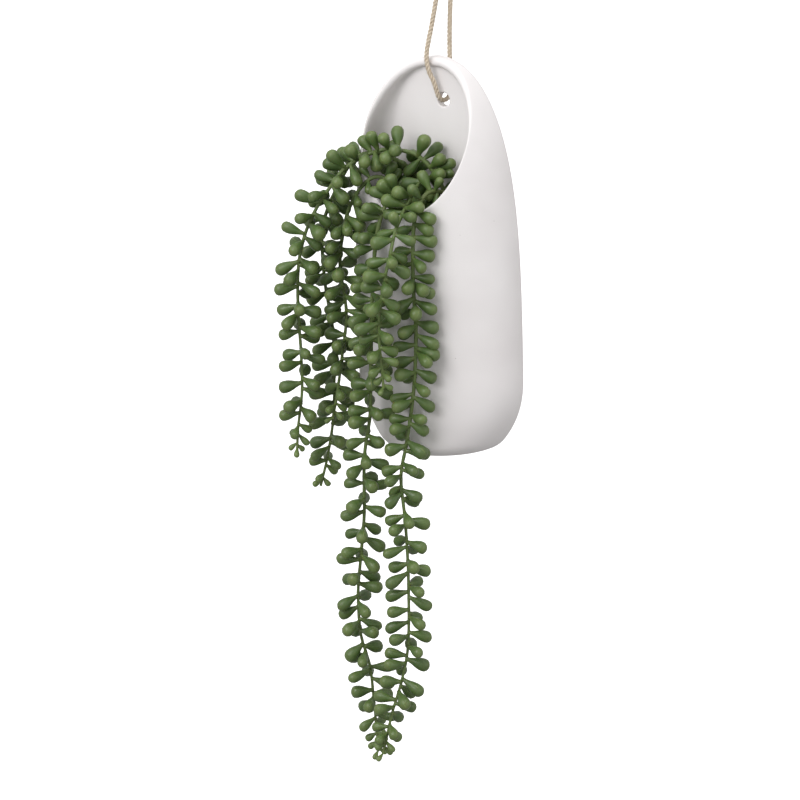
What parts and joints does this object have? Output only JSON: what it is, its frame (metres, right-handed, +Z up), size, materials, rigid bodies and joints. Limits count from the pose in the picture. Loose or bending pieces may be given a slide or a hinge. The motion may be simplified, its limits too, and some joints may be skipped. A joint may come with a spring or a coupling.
{
  "type": "hanging potted succulent",
  "caption": "Tall white ceramic wall pot with a flat back and slanted opening, hung on a jute cord, with trailing stems of club-shaped bead leaves.",
  "frame": {"origin": "inside top of the cord's eye, where a hook carries the pot", "axes": "+Z up, -Y out of the front of the pot, +X to the right seen from the front"},
  "size_m": [0.1364, 0.0969, 0.5523],
  "materials": {
    "pot": "matte white, unglazed or matte glazed",
    "soil": "coarse dark potting mix",
    "plant": "satin waxy green leaf, lighter towards the young tips",
    "cord": "twisted natural jute"
  },
  "bodies": {
    "root": {"pot": "pot", "soil": "soil", "strand_left": "plant", "strand_back_left": "plant", "strand_mid_left": "plant", "strand_front": "plant", "strand_long_left": "plant", "strand_long_right": "plant", "cord": "cord", "cord_knot": "cord"}
  },
  "joints": []
}
